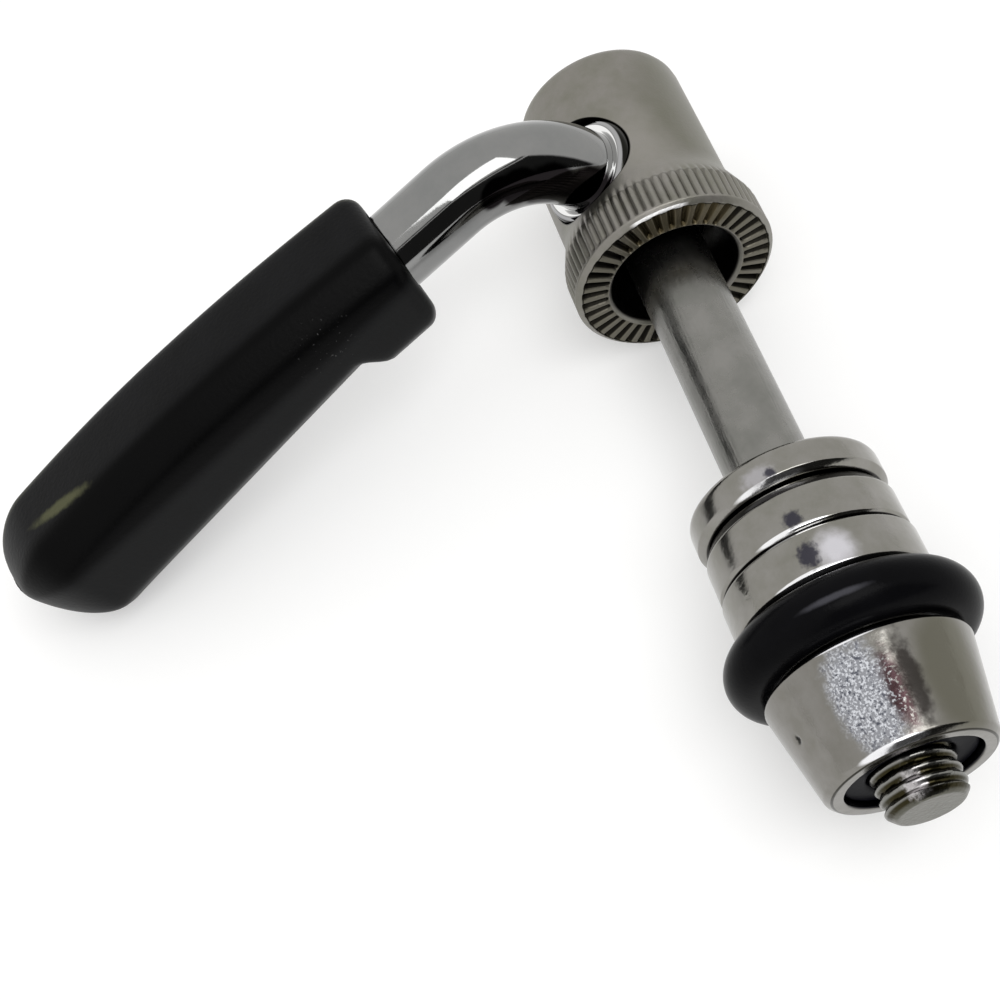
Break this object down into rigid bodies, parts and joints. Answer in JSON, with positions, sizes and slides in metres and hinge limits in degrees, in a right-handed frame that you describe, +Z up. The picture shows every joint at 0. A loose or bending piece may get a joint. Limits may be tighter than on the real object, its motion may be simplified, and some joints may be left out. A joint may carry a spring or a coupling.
{
  "type": "quick release seatpost bolt",
  "caption": "Bicycle seatpost quick release bolt: cam barrel with bent round lever, eye bolt, loose washers, rubber ring and cone nut with locking insert.",
  "frame": {"origin": "centre of the part's bounding box in plan, on the surface that it lies on", "axes": "+X along the bolt towards its tip, level but for a tilt of about one degree, +Z up, the lever leaves towards -Y"},
  "size_m": [0.082, 0.0824, 0.0261],
  "materials": {
    "barrel_nickel": "satin nickel plating over steel",
    "rod_chrome": "polished chrome plating",
    "grip_plastic": "soft satin moulded plastic",
    "bolt_zinc": "satin zinc plating",
    "washer_nickel": "bright nickel plating, turned faces",
    "ring_rubber": "smooth black rubber",
    "nut_nickel": "bright nickel plating with small dents",
    "insert_nylon": "black nylon"
  },
  "bodies": {
    "cam_housing": {"barrel": "barrel_nickel"},
    "lever": {"lever_rod": "rod_chrome", "grip": "grip_plastic"},
    "eye_bolt": {"bolt": "bolt_zinc"},
    "flat_washer": {"washer_flat": "washer_nickel"},
    "dished_washer": {"washer_dished": "washer_nickel"},
    "domed_washer": {"washer_domed": "washer_nickel"},
    "nut": {"cone_nut": "nut_nickel", "nut_insert": "insert_nylon", "rubber_ring": "ring_rubber"}
  },
  "joints": [
    {"name": "lever_turn", "type": "hinge", "parent": "cam_housing", "child": "lever", "pos_m": [-0.02789, 0.02994, 0.01002], "axis": [-0.0192, -0.5834, 0.8119], "range_deg": [-90, 90]},
    {"name": "bolt_pull", "type": "slide", "parent": "cam_housing", "child": "eye_bolt", "axis": [-0.9997, 0, -0.0236], "range_m": [-0.001, 0.001]},
    {"name": "nut_advance", "type": "slide", "parent": "eye_bolt", "child": "flat_washer", "axis": [-0.9997, 0, -0.0236], "range_m": [-0.002, 0.005]},
    {"name": "nut_spin", "type": "hinge", "parent": "flat_washer", "child": "nut", "pos_m": [0.02864, 0.02994, 0.01136], "axis": [-0.9997, 0, -0.0236], "range_deg": [-720, 1800]},
    {"name": "dished_washer_slide", "type": "slide", "parent": "flat_washer", "child": "dished_washer", "axis": [-0.9997, 0, -0.0236], "range_m": [0, 0.009]},
    {"name": "domed_washer_slide", "type": "slide", "parent": "dished_washer", "child": "domed_washer", "axis": [-0.9997, 0, -0.0236], "range_m": [0, 0.009]}
  ],
  "couplings": [
    {"joint": "bolt_pull", "follows": "lever_turn", "m_per_rad": 0.00063662},
    {"joint": "nut_advance", "follows": "nut_spin", "m_per_rad": 0.00015915}
  ]
}
